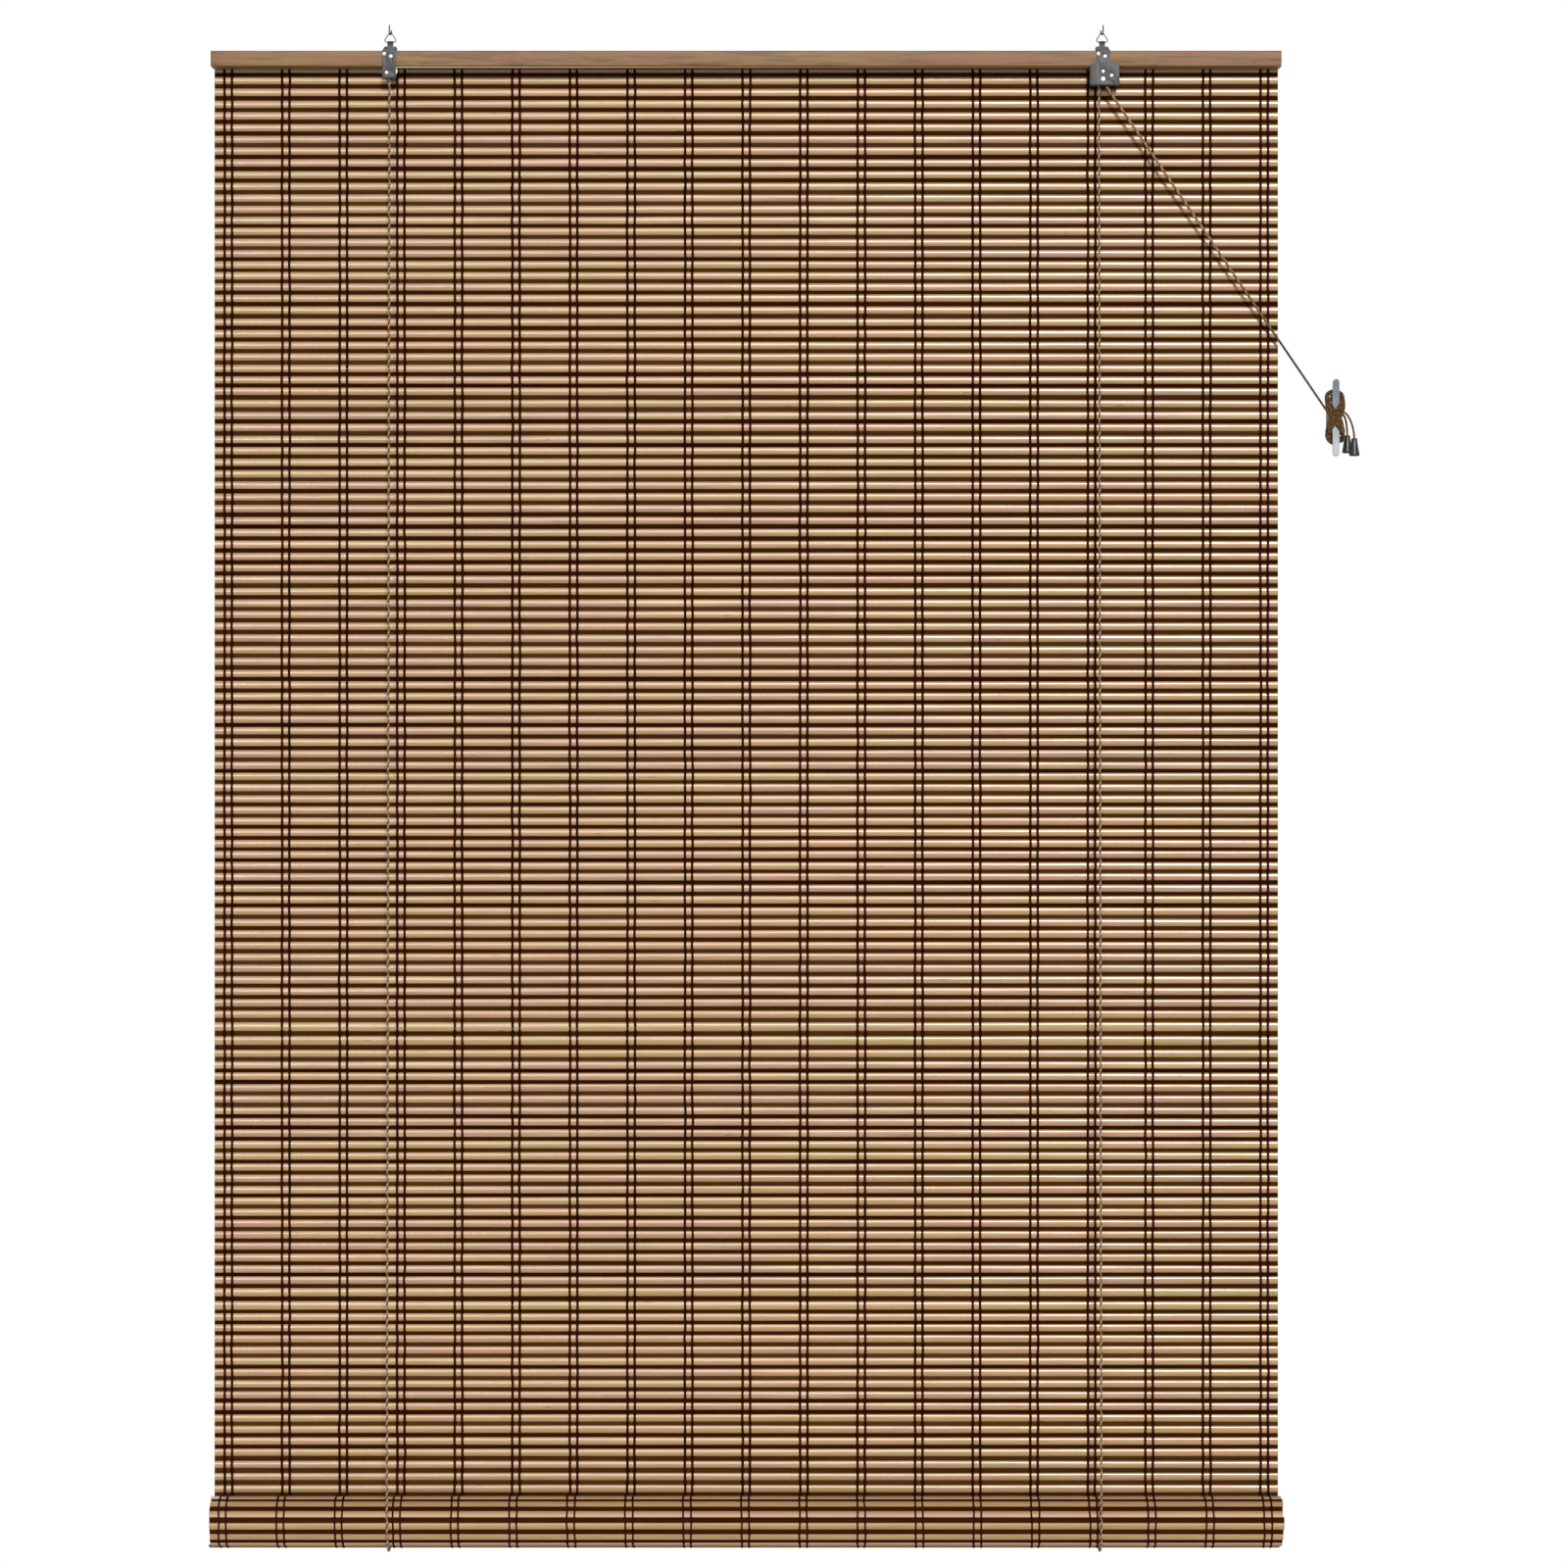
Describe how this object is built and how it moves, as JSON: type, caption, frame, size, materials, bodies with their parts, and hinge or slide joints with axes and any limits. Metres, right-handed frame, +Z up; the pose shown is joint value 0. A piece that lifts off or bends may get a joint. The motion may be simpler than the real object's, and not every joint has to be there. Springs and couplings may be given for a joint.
{
  "type": "bamboo roll up blind",
  "caption": "Woven bamboo blind on a wooden headrail, rolled up from below by cords that run over pulleys and a cam lock to a wall cleat.",
  "frame": {"origin": "on the lintel's underside, midway between the two hooks' shanks", "axes": "+X to the right as seen from the room, +Y towards the wall, +Z up"},
  "size_m": [1.291, 0.0879, 1.7141],
  "materials": {
    "rail_wood": "planed and stained, matt",
    "bamboo": "split bamboo with its natural skin, satin",
    "string": "dark brown cotton, matt",
    "rod_wood": "round bamboo, satin",
    "staple_wire": "zinc-plated wire",
    "bracket_steel": "stamped and zinc-plated",
    "rivet_steel": "bright, domed",
    "screw_steel": "bright zinc",
    "pulley_plastic": "moulded, satin",
    "cam_brass": "cast, lightly worn",
    "hook_wire": "bent wire, zinc-plated",
    "cord": "two-ply twisted cotton",
    "cleat_plastic": "moulded, satin",
    "tassel_plastic": "moulded, satin"
  },
  "bodies": {
    "fixings": {"left_hook": "hook_wire", "right_hook": "hook_wire", "cleat": "cleat_plastic", "cleat_screws": "screw_steel", "cleat_winding": "cord", "pull_cord_front": "cord", "pull_cord_rear": "cord", "tail_front": "cord", "tail_rear": "cord", "tassel_front": "tassel_plastic", "tassel_rear": "tassel_plastic", "tassel_knots": "cord"},
    "rings": {"left_ring": "hook_wire", "right_ring": "hook_wire"},
    "headrail": {"headrail": "rail_wood", "slat_mat": "bamboo", "weave_strings": "string", "mat_staples": "staple_wire", "left_bracket": "bracket_steel", "left_cheek": "bracket_steel", "left_axle": "rivet_steel", "left_keeper": "rivet_steel", "lock_bracket": "bracket_steel", "lock_cheek": "bracket_steel", "lock_axle": "rivet_steel", "guide_post": "rivet_steel", "cam_pin": "rivet_steel", "lock_spacer": "rivet_steel", "bracket_screws": "screw_steel", "left_lift_cord": "cord", "right_lift_cord": "cord", "left_rear_cord": "cord", "right_rear_cord": "cord", "head_cord": "cord", "lock_cord": "cord", "cord_knots": "cord", "cord_staples": "cord"},
    "slings": {"left_sling": "cord", "right_sling": "cord"},
    "roll": {"bottom_roll": "bamboo", "bottom_rod": "rod_wood"},
    "left_pulley": {"left_pulley": "pulley_plastic"},
    "lock_pulley_front": {"lock_pulley_front": "pulley_plastic"},
    "lock_pulley_rear": {"lock_pulley_rear": "pulley_plastic"},
    "lock_cam": {"lock_cam": "cam_brass"}
  },
  "joints": [
    {"name": "ring_swing", "type": "hinge", "parent": "fixings", "child": "rings", "pos_m": [0, -0.00243, -0.00425], "axis": [1, 0, 0], "range_deg": [-15, 15], "deforming": ["pull_cord_front", "pull_cord_rear"]},
    {"name": "headrail_swing", "type": "hinge", "parent": "rings", "child": "headrail", "pos_m": [0, -0.00243, -0.01455], "axis": [1, 0, 0], "range_deg": [-15, 15], "deforming": ["pull_cord_front", "pull_cord_rear"]},
    {"name": "roll_lift", "type": "slide", "parent": "headrail", "child": "slings", "axis": [0, 0, 1], "range_m": [0, 1.5], "deforming": ["slat_mat", "weave_strings", "left_lift_cord", "right_lift_cord", "left_rear_cord", "right_rear_cord", "pull_cord_front", "pull_cord_rear"]},
    {"name": "roll_turn", "type": "hinge", "parent": "slings", "child": "roll", "pos_m": [0, -0.02322, -1.67345], "axis": [1, 0, 0], "range_deg": [-2990, 0]},
    {"name": "left_pulley_turn", "type": "hinge", "parent": "headrail", "child": "left_pulley", "pos_m": [-0.396, -0.01843, -0.04945], "axis": [0, 1, 0], "continuous": true},
    {"name": "lock_front_turn", "type": "hinge", "parent": "headrail", "child": "lock_pulley_front", "pos_m": [0.4, -0.01843, -0.04995], "axis": [0, 1, 0], "continuous": true},
    {"name": "lock_rear_turn", "type": "hinge", "parent": "headrail", "child": "lock_pulley_rear", "pos_m": [0.4, -0.01372, -0.04995], "axis": [0, 1, 0], "continuous": true},
    {"name": "cam_turn", "type": "hinge", "parent": "headrail", "child": "lock_cam", "pos_m": [0.4095, -0.01607, -0.05445], "axis": [0, -1, 0], "range_deg": [0, 35]}
  ],
  "couplings": [
    {"joint": "roll_turn", "follows": "roll_lift", "rad_per_m": -34.014},
    {"joint": "left_pulley_turn", "follows": "roll_lift", "rad_per_m": 540.54},
    {"joint": "lock_front_turn", "follows": "roll_lift", "rad_per_m": 476.19},
    {"joint": "lock_rear_turn", "follows": "roll_lift", "rad_per_m": 476.19}
  ]
}
